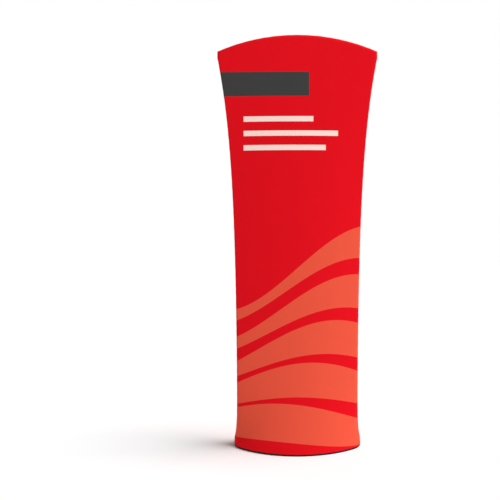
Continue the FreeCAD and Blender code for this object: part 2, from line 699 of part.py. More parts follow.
def zipper():
    """A zip along the rear of the hem, which loosens the cover so that it slips over the base."""
    ends = ("0 - zip_half_length", "zip_half_length")
    run = ("0 - zip_half_length + zip_stop_length + fit_gap", "zip_half_length - zip_stop_length - fit_gap")
    tape_rows = []
    tooth_rows = []
    rows = (
        ("upper", "zip_level + zip_slit / 2", "zip_level + zip_slit / 2"),
        ("lower", "zip_level - zip_tape_width", "tooth_bottom"),
    )
    for row, tape_low, tooth_low in rows:
        tape_rows.append(arc_strip(row + "_tape", "tape_inner", "tape_outer", tape_low,
                                   "zip_tape_width - zip_slit / 2", *ends))
        tooth_rows.append(arc_strip(row + "_teeth", "tape_outer + zip_tape_gap", "tooth_outer", tooth_low,
                                    "zip_tooth_width", *run))
    piece(group("zip_tape_pair", *tape_rows), "zip_tape")
    piece(group("zip_tooth_pair", *tooth_rows), "zip_teeth")
    stop_height = "zip_slit + 2 * zip_tooth_width"
    stop = arc_strip("right_stop", "tape_outer + zip_tape_gap", "tooth_outer", "tooth_bottom", stop_height,
                     "zip_half_length - zip_stop_length", "zip_half_length")
    piece(group("zip_stop_pair", stop, mirror("left_stop", stop)), "zip_stops")

    def between(name, length, near, far, width, x="0"):
        """A block across the zip, between two distances from the centre of the rear arc."""
        return block(name, length, "(%s) - (%s)" % (far, near), width, x, "((%s) + (%s)) / 2" % (far, near),
                     "zip_level - (%s) / 2" % width)

    rear = between("slider_rear", "slider_length", "slider_inner", "slider_inner + slider_plate",
                   "slider_width")
    blade = between("slider_post", "slider_length / 2", "slider_inner", "slider_face", "slider_blade")
    front = between("slider_top", "slider_length", "slider_front", "slider_face", "slider_width")
    posts = []
    spread = "(pull_width + bail_post) / 2"
    for name, x in (("near_post", spread), ("far_post", "0 - " + spread)):
        posts.append(between(name, "bail_post", "slider_face", "bail_axis + bail_bar / 2", "bail_bar", x))
    bar = cylinder("bail_rod", "bail_bar / 2", "pull_width + 2 * bail_post",
                   x="0 - pull_width / 2 - bail_post", y="bail_axis", z="zip_level", along="x")
    slider = fuse("slider_body", rear, blade, front, bar, *posts)

    pull_size = "pull_width - 2 * hole_gap"
    eye = cylinder("pull_ring", "pull_eye", pull_size, x="0 - (%s) / 2" % pull_size, y="bail_axis",
                   z="zip_level", along="x")
    tab = block("pull_tab", pull_size, "pull_thickness", "pull_length", y="bail_axis",
                z="zip_level - pull_length")
    tip = cylinder("pull_tip", "(%s) / 2" % pull_size, "pull_thickness", y="bail_axis - pull_thickness / 2",
                   z="zip_level - pull_length", along="y")
    hole = cylinder("pull_hole", "bail_bar / 2 + hole_gap", "pull_width", x="0 - pull_width / 2",
                    y="bail_axis", z="zip_level", along="x")
    pull = cut("pull_body", fuse("pull_blank", eye, tab, tip), hole)
    turn = math.degrees(math.asin(now("slider_reach") / now("side_radius")))
    for moving in (slider, pull):
        moving.Placement = Placement(Vector(), Rotation(Vector(0, 0, 1), -turn))
        place(moving, y="0 - oval_centre")
    piece(slider, "zip_slider")
    piece(pull, "zip_pull")


screw_holes = base()
rivet_set = []
for side, x, inward in SIDES:
    rivet_set += upright(side, x, inward, screw_holes)
piece(group("connector_rivet_set", *rivet_set), "connector_rivets")
arch()
cover()
zipper()
doc.recompute()

for item in doc.Objects:
    if "Invalid" in item.State or "Error" in item.State:
        raise SystemExit("failed: %s %s" % (item.Label, item.State))
for item in pieces:
    if item.Shape.isNull() or not item.Shape.isValid():
        raise SystemExit("bad shape: " + item.Label)

os.makedirs("parts", exist_ok=True)
for item in pieces:
    item.Shape.exportStep("parts/%s.step" % item.Label)
    print("%-24s solids %2d  volume %.1f" % (item.Label, len(item.Shape.Solids), item.Shape.Volume))
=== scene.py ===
import json
import math
import bmesh
import bpy
from mathutils import Matrix, Vector


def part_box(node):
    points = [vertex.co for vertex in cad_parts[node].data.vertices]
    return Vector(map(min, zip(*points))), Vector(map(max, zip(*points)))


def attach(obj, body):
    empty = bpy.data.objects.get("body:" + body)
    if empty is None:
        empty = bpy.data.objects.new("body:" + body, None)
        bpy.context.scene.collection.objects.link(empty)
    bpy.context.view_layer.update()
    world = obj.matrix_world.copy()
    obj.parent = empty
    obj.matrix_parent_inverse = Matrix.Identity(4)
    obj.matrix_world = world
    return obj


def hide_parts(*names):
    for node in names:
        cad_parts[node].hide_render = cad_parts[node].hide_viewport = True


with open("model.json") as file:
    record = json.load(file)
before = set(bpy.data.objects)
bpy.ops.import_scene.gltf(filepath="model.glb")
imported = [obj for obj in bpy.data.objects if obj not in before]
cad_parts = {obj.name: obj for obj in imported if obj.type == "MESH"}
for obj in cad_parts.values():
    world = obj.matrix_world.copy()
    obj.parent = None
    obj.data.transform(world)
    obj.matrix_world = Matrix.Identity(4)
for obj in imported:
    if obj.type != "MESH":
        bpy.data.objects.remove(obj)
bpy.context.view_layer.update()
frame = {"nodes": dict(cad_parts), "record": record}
joints = {joint["name"]: joint for joint in frame["record"]["behaviour"]["joints"]}
mm = 0.001
weld = 0.01 * mm     # points closer than this are one
print("frame loaded:", len(frame["nodes"]), "nodes")


# sRGB hex to the linear values that the shaders want
def paint(hexText):
    channels = [int(hexText[i:i + 2], 16) / 255 for i in (1, 3, 5)]
    return [c / 12.92 if c <= 0.04045 else ((c + 0.055) / 1.055) ** 2.4 for c in channels] + [1.0]


# adds a node: settings are its properties, inputs are numbers to set or sockets to link
def addNode(tree, kind, inputs=None, **settings):
    node = tree.nodes.new(kind)
    for name, value in settings.items():
        setattr(node, name, value)
    for name, value in (inputs or {}).items():
        if isinstance(value, bpy.types.NodeSocket):
            tree.links.new(value, node.inputs[name])
        else:
            node.inputs[name].default_value = value
    return node


def newMaterial(name, **constants):
    material = bpy.data.materials.new(name)
    material.use_nodes = True
    shader = material.node_tree.nodes["Principled BSDF"]
    for socket, value in constants.items():
        shader.inputs[socket.replace("_", " ")].default_value = value
    return material, material.node_tree, shader


def newPiece(name, bm, material, body, smooth=True):
    mesh = bpy.data.meshes.new(name)
    for face in bm.faces:
        face.smooth = smooth
    bm.to_mesh(mesh)
    bm.free()
    mesh.materials.append(material)
    piece = bpy.data.objects.new(name, mesh)
    bpy.context.scene.collection.objects.link(piece)
    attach(piece, body)
    return piece


# camera at the photograph's eye point: level, straight on, the tower right of the middle
view = {"distance": 2.86, "height": 0.948, "focalPixels": 584.2, "imagePixels": 500, "towerPixel": 297.3}


def addCamera():
    data = bpy.data.cameras.new("camera")
    camera = bpy.data.objects.new("camera", data)
    bpy.context.scene.collection.objects.link(camera)
    data.lens = data.sensor_width * view["focalPixels"] / view["imagePixels"]
    data.shift_x = (view["imagePixels"] / 2 - view["towerPixel"]) / view["imagePixels"]
    camera.location = (0, -view["distance"], view["height"])
    camera.rotation_euler = (math.radians(90), 0, 0)
    bpy.context.scene.camera = camera


addCamera()

# stage: a white paper floor under a fan of soft suns at the right, which light it alone and make its shadow
# broad; on the object a big soft lamp at the front right, a small one over the top edge, and weak fills
studio = {
    # name, power, azimuth, height, distance, level aimed at, size
    "softLamps": [("keyLamp", 206, 50, 0, 6, 1.3, 3), ("rimLamp", 11, 80, 74, 1.2, 2.0, 0.5)],
    # suns: name, strength, azimuth, height
    "fills": [("leftFill", 0.42, -90, 10), ("rearFill", 1.3, 175, 15), ("topFill", 1.0, 95, 58)],
    "floorSuns": [("rearSun", 0.54, 111, 76), ("sideSun", 0.64, 98, 72), ("lowSun", 0.53, 91, 54),
                  ("highSun", 0.64, 87, 68), ("frontSun", 0.6, 76, 68)],
    "sunSpread": 14, "ambient": 0.305, "paper": "#F2F2F2", "paperRough": 0.9, "paperHalf": 30,
}


def addLamp(name, kind, azimuth, height, shadow, **settings):
    data = bpy.data.lights.new(name, kind)
    data.use_shadow = shadow
    for setting, value in settings.items():
        setattr(data, setting, value)
    lamp = bpy.data.objects.new(name, data)
    bpy.context.scene.collection.objects.link(lamp)
    a, h = math.radians(azimuth), math.radians(height)
    toLamp = Vector((math.sin(a) * math.cos(h), -math.cos(a) * math.cos(h), math.sin(h)))
    lamp.rotation_euler = toLamp.to_track_quat("Z", "Y").to_euler()
    return lamp, toLamp


# the lamp then lights the floor alone, or everything but the floor
def linkToFloor(lamp, floor, state):
    group = bpy.data.collections.new(lamp.name + "Floor")
    group.objects.link(floor)
    group.collection_objects[0].light_linking.link_state = state
    lamp.light_linking.receiver_collection = group


def addLamps(floor):
    for name, power, azimuth, height, distance, level, size in studio["softLamps"]:
        lamp, toLamp = addLamp(name, "AREA", azimuth, height, False, energy=power, size=size)
        lamp.location = toLamp * distance + Vector((0, 0, level))
        linkToFloor(lamp, floor, "EXCLUDE")
    for name, strength, azimuth, height in studio["fills"]:
        lamp = addLamp(name, "SUN", azimuth, height, False, energy=strength)[0]
        linkToFloor(lamp, floor, "EXCLUDE")
    spread = math.radians(studio["sunSpread"])
    for name, strength, azimuth, height in studio["floorSuns"]:
        lamp = addLamp(name, "SUN", azimuth, height, True, energy=strength, angle=spread)[0]
        linkToFloor(lamp, floor, "INCLUDE")


# 1 for the rays that show the surround itself, so that it is white there and lights the object less
def seenDirectly(tree):
    path = addNode(tree, "ShaderNodeLightPath").outputs
    either = addNode(tree, "ShaderNodeMath", {0: path["Is Camera Ray"], 1: path["Is Glossy Ray"]},
                     operation="MAXIMUM")
    return addNode(tree, "ShaderNodeMath", {0: either.outputs[0], 1: path["Is Transmission Ray"]},
                   operation="MAXIMUM").outputs[0]


def addStage():
    world = bpy.data.worlds.new("surround")
    bpy.context.scene.world = world
    world.use_nodes = True
    tree = world.node_tree
    tree.nodes.clear()
    strength = addNode(tree, "ShaderNodeMapRange", {"Value": seenDirectly(tree), "To Max": 1.0,
                                                    "To Min": studio["ambient"]})
    sky = addNode(tree, "ShaderNodeBackground", {"Color": paint("#FFFFFF"),
                                                 "Strength": strength.outputs[0]})
    addNode(tree, "ShaderNodeOutputWorld", {"Surface": sky.outputs[0]})
    bm = bmesh.new()
    bmesh.ops.create_grid(bm, x_segments=1, y_segments=1, size=studio["paperHalf"])
    mesh = bpy.data.meshes.new("floor")
    bm.to_mesh(mesh)
    bm.free()
    floor = bpy.data.objects.new("floor", mesh)
    bpy.context.scene.collection.objects.link(floor)
    # backdrop paper: matt, with no shine at all
    material = newMaterial("studioPaper", Base_Color=paint(studio["paper"]), Specular_IOR_Level=0.0,
                           Roughness=studio["paperRough"])[0]
    mesh.materials.append(material)
    addLamps(floor)


addStage()
bpy.context.scene.view_settings.view_transform = "Standard"
print("camera and stage ready")

# cover: a printed sleeve of two panels, stretched from the arch down to the oval base; sizes in millimetres
panelLow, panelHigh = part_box("front_panel")
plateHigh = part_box("base_plate")[1]
cover = {
    "hem": plateHigh.z / mm, "crown": panelHigh.z / mm, "topHalf": panelHigh.x / mm,
    "baseHalf": plateHigh.x / mm, "baseHalfDepth": -panelLow.y / mm, "baseEndRadius": 105,
    "bandTop": 34, "bandSoftness": 3, "bandBlend": 30,
    "archRise": 82, "tubeRadius": 15, "tubeGap": 1.4,
    "neckHalf": 291, "topFlare": 500, "baseFlare": 50, "leanDepth": 64, "bulgeLength": 150,
    "edgeRadius": 4, "edgeFade": 150, "straightBelow": 0.001,
    "thickness": 1.0, "columns": 128, "rows": 240, "edgeCrowding": 1.8, "mergeWithin": 0.02,
    "hemRows": 0.2, "hemZoneTop": 90, "headerRows": 0.9, "wrapRows": 0.95,
    "seamDepth": 0.8, "archSeamDepth": 0.4, "seamWidth": 1.6,
    "lipHeight": 0.3, "lipAt": 4.0, "lipWidth": 2,
    "puckerHeight": 0.3, "puckerFade": 22, "puckerLength": 48, "puckerDrift": 1.3, "driftLength": 31,
    "hemFold": 12, "hemStep": 0.35, "hemEdge": 1.2,
}
headerHalf = cover["tubeRadius"] + cover["tubeGap"]
headerBottom = cover["crown"] - cover["archRise"] - 2 * headerHalf
crownRadius = (cover["topHalf"] ** 2 + cover["archRise"] ** 2) / (2 * cover["archRise"])
archCentre = cover["crown"] - crownRadius
archRadius = crownRadius - headerHalf


# half width, half depth and end radius of the sleeve at a height
def sectionAt(z):
    bottom = cover["bandTop"]
    above = (z - bottom) / cover["bandSoftness"]
    if above < cover["bandBlend"]:     # the upright band at the hem runs softly into the flare
        z = bottom + cover["bandSoftness"] * math.log1p(math.exp(above))
    part = (z - bottom) / (headerBottom - bottom)
    spread = (cover["topHalf"] - cover["neckHalf"]) * math.exp((z - headerBottom) / cover["topFlare"])
    tail = (cover["topHalf"] - cover["neckHalf"]) * math.exp((bottom - headerBottom) / cover["topFlare"])
    rest = cover["baseHalf"] - cover["neckHalf"] - tail
    halfWidth = cover["neckHalf"] + spread + rest * math.exp((bottom - z) / cover["baseFlare"])
    swell = cover["baseHalfDepth"] - headerHalf - cover["leanDepth"]
    lean = cover["leanDepth"] + swell * math.exp((bottom - z) / cover["bulgeLength"])
    halfDepth = headerHalf + (1 - part) * lean
    bend = (cover["baseEndRadius"] - cover["edgeRadius"]) * cover["baseHalf"] / cover["baseHalfDepth"] ** 2
    hold = headerHalf - cover["edgeRadius"] - bend * headerHalf ** 2 / cover["topHalf"]
    endRadius = cover["edgeRadius"] + bend * halfDepth ** 2 / halfWidth
    endRadius += hold * math.exp((z - headerBottom) / cover["edgeFade"])
    return halfWidth, halfDepth, endRadius


# a point of one quarter of the section, by its share of the way from the side seam to the middle
def alongSection(halfWidth, halfDepth, endRadius, share):
    centre = halfWidth - endRadius
    slack = halfDepth - endRadius
    if slack < cover["straightBelow"]:     # straight sides between two half rounds
        quarter = endRadius * math.pi / 2 + centre
        run = share * quarter
        if run > endRadius * math.pi / 2:
            return quarter - run, halfDepth, run, quarter
        angle = run / endRadius
        return centre + endRadius * math.cos(angle), endRadius * math.sin(angle), run, quarter
    drop = (centre ** 2 - slack ** 2) / (2 * slack)
    knee = math.atan2(drop, centre)
    side = drop + halfDepth
    quarter = endRadius * knee + side * (math.pi / 2 - knee)
    run = share * quarter
    if run < endRadius * knee:
        angle = run / endRadius
        return centre + endRadius * math.cos(angle), endRadius * math.sin(angle), run, quarter
    angle = knee + (run - endRadius * knee) / side
    return side * math.cos(angle), side * math.sin(angle) - drop, run, quarter


def archHeight(x, y):
    return archCentre + math.sqrt((archRadius + math.sqrt(max(headerHalf ** 2 - y ** 2, 0))) ** 2 - x ** 2)


# where a grid point of a panel goes: u runs from seam to seam, v from hem to crown
def panelPoint(u, v):
    share = (1 - abs(u)) ** cover["edgeCrowding"]
    toTop = math.inf     # way to the seam along the arch, where that is near
    if v <= cover["headerRows"]:
        if v <= cover["hemRows"]:
            z = cover["hem"] + (cover["hemZoneTop"] - cover["hem"]) * v / cover["hemRows"]
        else:
            up = (v - cover["hemRows"]) / (cover["headerRows"] - cover["hemRows"])
            z = cover["hemZoneTop"] + (headerBottom - cover["hemZoneTop"]) * up
        x, y, run, quarter = alongSection(*sectionAt(z), share)
    else:
        x, y, run, quarter = alongSection(cover["topHalf"], headerHalf, headerHalf, share)
        if v <= cover["wrapRows"]:
            up = (v - cover["headerRows"]) / (cover["wrapRows"] - cover["headerRows"])
            z = headerBottom + up * (archHeight(x, y) - headerBottom)
        else:
            over = (v - cover["wrapRows"]) / (1 - cover["wrapRows"])
            y = y * math.cos(over * math.pi / 2)
            z = archHeight(x, y)
            toTop = y
    return x, y, z, run, quarter, toTop


# how far the cloth stands proud of or sinks below its smooth form, in millimetres
def relief(run, toTop, z, x):
    near = min(run, toTop)
    along = z if run < toTop else x
    depth = cover["seamDepth"] if run < toTop else cover["archSeamDepth"]
    groove = -depth * math.exp(-(near / cover["seamWidth"]) ** 2)
    lip = cover["lipHeight"] * math.exp(-((near - cover["lipAt"]) / cover["lipWidth"]) ** 2)
    drift = cover["puckerDrift"] * math.sin(along / cover["driftLength"])
    wave = math.sin(2 * math.pi * along / cover["puckerLength"] + drift)
    pucker = cover["puckerHeight"] * wave * math.exp(-near / cover["puckerFade"])
    step = cover["hemStep"] * (1 - math.tanh((z - cover["hem"] - cover["hemFold"]) / cover["hemEdge"])) / 2
    return groove + lip + pucker + step


def shapePanel(side):
    bm = bmesh.new()
    bmesh.ops.create_grid(bm, x_segments=cover["columns"], y_segments=cover["rows"], size=1.0)
    cutMap = bm.loops.layers.uv.new("cutMap")     # the flat cut, in metres
    bakeMap = bm.loops.layers.uv.new("OFBake")    # the same, filling a square
    tall = cover["crown"] - cover["hem"]
    cutPlace, bakePlace, proud = {}, {}, {}
    for vert in bm.verts:
        u, v = vert.co.x, (vert.co.y + 1) / 2
        x, y, z, run, quarter, toTop = panelPoint(u, v)
        sign = math.copysign(1, u)
        cutPlace[vert] = (sign * (quarter - run) * mm, z * mm)
        bakePlace[vert] = (0.5 + sign * (1 - run / quarter) / 2, (z - cover["hem"]) / tall)
        proud[vert] = relief(run, toTop, z, x)
        vert.co = Vector((sign * x, side * y, z)) * mm
    bm.normal_update()
    middle = min(bm.faces, key=lambda face: (face.calc_center_median() - Vector((0, side, 1))).length)
    if middle.normal.y * side < 0:
        bmesh.ops.reverse_faces(bm, faces=bm.faces)
        bm.normal_update()
    for face in bm.faces:
        for loop in face.loops:
            loop[cutMap].uv = cutPlace[loop.vert]
            loop[bakeMap].uv = bakePlace[loop.vert]
    for vert in bm.verts:
        vert.co += vert.normal * proud[vert] * mm
    bmesh.ops.remove_doubles(bm, verts=bm.verts, dist=cover["mergeWithin"] * mm)
    return bm


# zip along the rear of the hem, on the rear arc of the base; millimetres, out from the face of the cloth
zipper = {
    "level": joints["zip_run"]["pos_m"][2] / mm, "arcCentre": joints["zip_run"]["pos_m"][1] / mm,
    "slotHalfLength": 190.4, "slotHalfHeight": 3.2, "hemZone": 60,
    "toothPitch": 1.5, "toothSize": (0.62, 1.3, 1.4), "toothSides": (8, 6), "toothLean": 10,
    "toothHalfRun": 186.2, "toothOut": -0.4, "rowOffset": 1.15,
    "tapeHalfRun": 190, "tapeOut": (-2.4, -1.8), "tapeRise": (0.6, 6.2), "tapeSteps": 90, "tapeStrips": 4,
    "plateLength": 14, "plateWidth": 10, "plateThick": 1.1, "plateOut": (-3.6, 1.3), "plateTaper": 0.8,
    "plateCorner": 2.2, "edgeRound": 0.25, "bladeLength": 7, "bladeHeight": 0.8,
    "flangeLength": 7.7, "flangeAhead": 2.24, "flangeThick": 0.8, "flangeDrop": 0.7,
    "axisOut": 5.2, "bailHalf": 3.7, "bailRadius": 0.75, "bailBend": 1.1, "bailSides": 12, "bendSteps": 5,
    "eyeOuter": 2.4, "eyeInner": 1.0, "eyeSides": 24,
    "pullHalf": 2.8, "pullLength": 19, "pullThick": 1.4, "pullTop": -1.3, "pullCorner": 2.716,
    "pullRound": 0.2, "rimWidth": 0.8, "rimDepth": 0.3,
    "ribs": 4, "ribPitch": 2.4, "ribSize": (3.0, 0.5, 0.8), "ribRound": 0.15,
    "stopSize": (3.0, 1.9, 2.5), "stopRun": 188.5, "stopRow": 1.55, "stopOut": -0.05, "stopRound": 0.5,
    "bridgeSize": (1.8, 1.3, 4.0),
}
rearRadius = cover["baseHalfDepth"] - zipper["arcCentre"]


# cuts the zip's slot out of the rear hem
def cutSlot(bm):
    half, tall, level = (zipper[key] * mm for key in ("slotHalfLength", "slotHalfHeight", "level"))
    planes = [((half, 0, 0), (1, 0, 0)), ((-half, 0, 0), (1, 0, 0)),
              ((0, 0, level + tall), (0, 0, 1)), ((0, 0, level - tall), (0, 0, 1))]
    for point, normal in planes:
        faces = [face for face in bm.faces if face.calc_center_median().z < zipper["hemZone"] * mm]
        edges = dict.fromkeys(edge for face in faces for edge in face.edges)
        verts = dict.fromkeys(vert for face in faces for vert in face.verts)
        bmesh.ops.bisect_plane(bm, geom=faces + list(edges) + list(verts), plane_co=point, plane_no=normal,
                               dist=weld)
    centres = [(face, face.calc_center_median()) for face in bm.faces]
    inside = [face for face, centre in centres if abs(centre.x) < half and abs(centre.z - level) < tall]
    bmesh.ops.delete(bm, geom=inside, context="FACES")


# print: a warm red ground, coral dune bands in the lower half, a plain dark block and pale bars above;
# metres, across from the middle of the panel and up from the floor
design = {
    "ground": "#DB0E1B", "bands": "#E3533D", "block": "#3D3D3D", "bars": "#F3D9CF", "edgeSoftness": 0.0012,
    # level, height of its wave, turn of its wave
    "bandEdges": [(0.86, 0.21, 0.0), (0.66, 0.17, 0.35), (0.47, 0.14, 0.8), (0.30, 0.11, 1.3),
                  (0.14, 0.08, 1.9)],
    "bandWidth": 0.115, "bandTaper": 0.045, "bandTurn": 0.25, "waveLength": 1.5,
    "blockSpan": (-0.5, 0.058), "blockRise": (1.697, 1.815),
    "barRows": [(1.585, 0.34), (1.515, 0.46), (1.445, 0.40)], "barStart": -0.262, "barHeight": 0.026,
}


# 1 where the value is below the limit, with a narrow soft edge
def below(tree, value, limit):
    gap = addNode(tree, "ShaderNodeMath", {0: limit, 1: value}, operation="SUBTRACT")
    return addNode(tree, "ShaderNodeMath", {0: gap.outputs[0], 1: 1 / design["edgeSoftness"], 2: 0.5},
                   operation="MULTIPLY_ADD", use_clamp=True).outputs[0]


def between(tree, value, low, high):
    return addNode(tree, "ShaderNodeMath", {0: below(tree, low, value), 1: below(tree, value, high)},
                   operation="MULTIPLY").outputs[0]


# a printed rectangle
def patch(tree, across, up, span, rise):
    return addNode(tree, "ShaderNodeMath", {0: between(tree, across, *span), 1: between(tree, up, *rise)},
                   operation="MULTIPLY").outputs[0]


# a dune's edge: a slow wave across the cloth
def duneEdge(tree, across, level, height, phase):
    turn = addNode(tree, "ShaderNodeMath", {0: across, 1: 2 * math.pi / design["waveLength"], 2: phase},
                   operation="MULTIPLY_ADD")
    wave = addNode(tree, "ShaderNodeMath", {0: turn.outputs[0]}, operation="SINE")
    return addNode(tree, "ShaderNodeMath", {0: wave.outputs[0], 1: height, 2: level},
                   operation="MULTIPLY_ADD").outputs[0]


# the whole print as one colour, layer upon layer
def printColour(tree, across, up, withBlock):
    layers = []
    for level, height, phase in design["bandEdges"]:
        top = duneEdge(tree, across, level, height, phase)
        bottom = duneEdge(tree, across, level - design["bandWidth"], height - design["bandTaper"],
                          phase + design["bandTurn"])
        layers.append((between(tree, up, bottom, top), design["bands"]))
    if withBlock:
        block = patch(tree, across, up, design["blockSpan"], design["blockRise"])
        layers.append((block, design["block"]))
        left, half = design["barStart"], design["barHeight"] / 2
        for level, length in design["barRows"]:
            bar = patch(tree, across, up, (left, left + length), (level - half, level + half))
            layers.append((bar, design["bars"]))
    colour = paint(design["ground"])
    for mask, hexText in layers:
        mixer = addNode(tree, "ShaderNodeMix", {"Factor": mask, 6: colour, 7: paint(hexText)},
                        data_type="RGBA")
        colour = mixer.outputs[2]     # sockets 6 and 7 in and 2 out are the node's colours
    return colour


# dye-printed polyester knit: matt, faintly ribbed, colour right in the thread; millimetres
knit = {
    "walePitch": 2.4, "waleDepth": 0.3, "slub": 7, "slubDetail": 2, "slubDepth": 0.5, "bump": 0.25,
    "rough": (0.76, 0.88), "shine": 0.03, "sheen": 0.1, "sheenRough": 0.5, "sheenTint": "#FF8070",
    "dyeCloud": 90, "dyeDetail": 3, "dyeRange": (0.97, 1.03),
}


def printedKnit(name, withBlock):
    material, tree, shader = newMaterial(name, Specular_IOR_Level=knit["shine"], Sheen_Weight=knit["sheen"],
                                         Sheen_Roughness=knit["sheenRough"],
                                         Sheen_Tint=paint(knit["sheenTint"]))
    flat = addNode(tree, "ShaderNodeUVMap", uv_map="cutMap").outputs[0]
    place = addNode(tree, "ShaderNodeSeparateXYZ", {0: flat})
    across, up = place.outputs[0], place.outputs[1]
    colour = printColour(tree, across, up, withBlock)
    # cloudy dye, a few percent lighter and darker over a hand's width
    cloud = addNode(tree, "ShaderNodeTexNoise", {"Vector": flat, "Scale": 1 / (knit["dyeCloud"] * mm),
                                                 "Detail": knit["dyeDetail"]})
    deep, pale = knit["dyeRange"]
    tone = addNode(tree, "ShaderNodeMapRange", {"Value": cloud.outputs[0], "To Min": deep, "To Max": pale})
    dyed = addNode(tree, "ShaderNodeVectorMath", {0: colour, "Scale": tone.outputs[0]}, operation="SCALE")
    tree.links.new(dyed.outputs[0], shader.inputs["Base Color"])
    # wales of the knit, drawn three times coarser than the real 0.8 mm so that they show, with uneven yarn
    turn = addNode(tree, "ShaderNodeMath", {0: across, 1: math.pi / (knit["walePitch"] * mm)},
                   operation="MULTIPLY")
    wave = addNode(tree, "ShaderNodeMath", {0: turn.outputs[0]}, operation="SINE")
    wale = addNode(tree, "ShaderNodeMath", {0: wave.outputs[0]}, operation="ABSOLUTE")
    slub = addNode(tree, "ShaderNodeTexNoise", {"Vector": flat, "Scale": 1 / (knit["slub"] * mm),
                                                "Detail": knit["slubDetail"]})
    uneven = knit["slubDepth"]
    yarn = addNode(tree, "ShaderNodeMath", {0: slub.outputs[0], 1: uneven, 2: 1 - uneven},
                   operation="MULTIPLY_ADD")
    rib = addNode(tree, "ShaderNodeMath", {0: wale.outputs[0], 1: yarn.outputs[0]}, operation="MULTIPLY")
    bump = addNode(tree, "ShaderNodeBump", {"Height": rib.outputs[0], "Strength": knit["bump"],
                                            "Distance": knit["waleDepth"] * mm})
    tree.links.new(bump.outputs[0], shader.inputs["Normal"])
    smooth, dull = knit["rough"]
    gloss = addNode(tree, "ShaderNodeMapRange", {"Value": slub.outputs[0], "To Min": smooth,
                                                 "To Max": dull})
    tree.links.new(gloss.outputs[0], shader.inputs["Roughness"])
    return material


def addPanel(name, side, node, material):
    bm = shapePanel(side)
    if side > 0:
        cutSlot(bm)
    piece = newPiece(name, bm, material, "tower")
    wall = piece.modifiers.new("cloth", "SOLIDIFY")
    wall.thickness = cover["thickness"] * mm
    wall.offset = -1
    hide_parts(node)


addPanel("front_cover", -1, "front_panel", printedKnit("printedKnitFront", True))
addPanel("back_cover", 1, "back_panel", printedKnit("printedKnitBack", False))
print("cover ready")


def everything(bm):
    return bm.verts[:] + bm.edges[:] + bm.faces[:]


def vertsIn(geom):
    return [item for item in geom if isinstance(item, bmesh.types.BMVert)]


# walks geometry round the base's oval from the middle of the front, as one swept band or as copies
def roundTheBase(bm, geom, pitch, copies):
    centre = cover["baseHalf"] - cover["baseEndRadius"]
    slack = cover["baseHalfDepth"] - cover["baseEndRadius"]
    drop = (centre ** 2 - slack ** 2) / (2 * slack)
    knee = math.atan2(drop, centre)
    side, end = drop + cover["baseHalfDepth"], cover["baseEndRadius"]
    quarter = math.pi / 2 - knee
    arcs = [((0, drop), quarter, side), ((centre, 0), 2 * knee, end), ((0, -drop), 2 * quarter, side),
            ((-centre, 0), 2 * knee, end), ((0, drop), quarter, side)]
    for (x, y), angle, radius in arcs:
        steps = max(1, round(radius * angle / pitch))
        geom = bmesh.ops.spin(bm, geom=geom, cent=(x * mm, y * mm, 0), axis=(0, 0, 1), angle=angle,
                              steps=steps, use_duplicate=copies)["geom_last"]
    return geom


# walks geometry made at the rear middle along the rear arc, from one side to the other
def alongTheRear(bm, geom, halfRun, steps, copies):
    centre = Vector((0, zipper["arcCentre"] * mm, 0))
    turn = math.asin(halfRun / rearRadius)
    bmesh.ops.rotate(bm, verts=vertsIn(geom), cent=centre, matrix=Matrix.Rotation(-turn, 3, "Z"))
    bmesh.ops.spin(bm, geom=geom, cent=centre, axis=(0, 0, 1), angle=2 * turn, steps=steps,
                   use_duplicate=copies)


def stepsAlongTheRear(halfRun, pitch):
    return round(2 * rearRadius * math.asin(halfRun / rearRadius) / pitch)


# puts a copy of all that is in the mesh at each place and takes the first one away
def repeatAt(bm, places):
    pattern = everything(bm)
    for place in places:
        copied = bmesh.ops.duplicate(bm, geom=pattern)["geom"]
        bmesh.ops.translate(bm, verts=vertsIn(copied), vec=place)
    bmesh.ops.delete(bm, geom=vertsIn(pattern), context="VERTS")


# stitches: two rows round the hem's fold, one row above and one below the zip; millimetres
stitch = {
    "length": 2.7, "thick": 0.6, "pitch": 3.4, "proud": 0.22,
    "hemRows": [14.6, 17.6], "zipRows": [22.2, 32.2], "zipHalfRun": 187,
}


def oneStitch(bm, out, z):
    long, thick = stitch["length"] / 2 * mm, stitch["thick"] / 2 * mm
    place = Matrix.Translation((0, out * mm, z * mm)) @ Matrix.Diagonal((long, thick, thick, 1))
    bmesh.ops.create_icosphere(bm, subdivisions=1, radius=1, matrix=place)


def addStitches(material):
    bm = bmesh.new()
    for z in stitch["hemRows"]:
        oneStitch(bm, -cover["baseHalfDepth"] - cover["hemStep"] - stitch["proud"], z)
    last = roundTheBase(bm, everything(bm), stitch["pitch"], True)
    bmesh.ops.delete(bm, geom=vertsIn(last), context="VERTS")     # it lies on the first
    newPiece("hem_stitches", bm, material, "tower")
    bm = bmesh.new()
    for z in stitch["zipRows"]:
        oneStitch(bm, cover["baseHalfDepth"] + stitch["proud"], z)
    steps = stepsAlongTheRear(stitch["zipHalfRun"], stitch["pitch"])
    alongTheRear(bm, everything(bm), stitch["zipHalfRun"], steps, True)
    newPiece("zip_stitches", bm, material, "tower")


